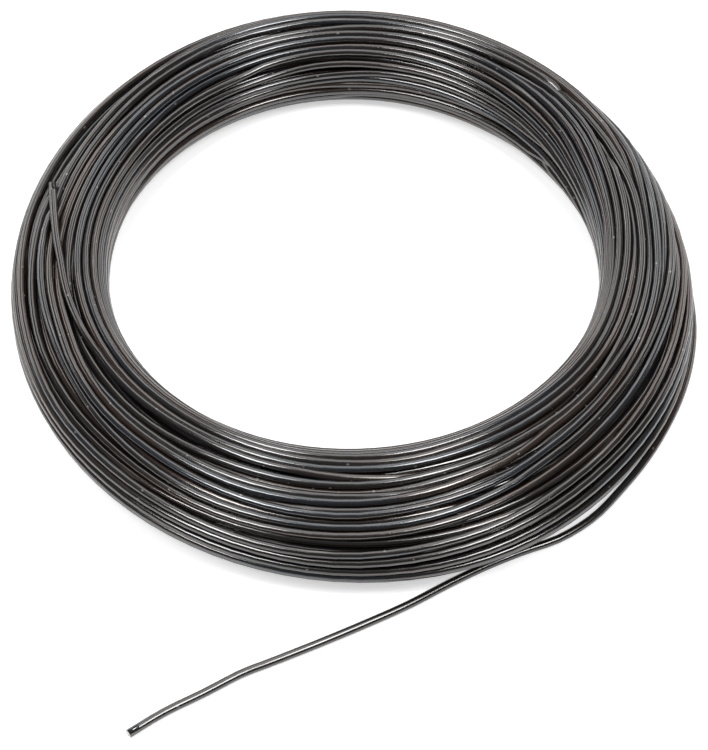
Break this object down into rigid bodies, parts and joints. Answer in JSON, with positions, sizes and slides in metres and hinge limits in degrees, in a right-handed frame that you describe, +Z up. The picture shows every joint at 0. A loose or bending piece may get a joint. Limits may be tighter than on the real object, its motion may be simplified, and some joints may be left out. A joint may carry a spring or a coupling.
{
  "type": "coil of binding wire",
  "caption": "Flat round coil of black annealed steel binding wire, wound loosely round an open eye, its outer end lying out beside the coil and its inner end springing off the top.",
  "frame": {"origin": "on the coil's axis, at the level of the surface it lies on", "axes": "+Z up along the coil's axis; the outer free end points towards -X -Y"},
  "size_m": [0.1402, 0.1713, 0.0168],
  "materials": {
    "wire": "black annealed, dull satin scale with fine drawing lines"
  },
  "bodies": {
    "root": {"binding_wire": "wire"}
  },
  "joints": []
}
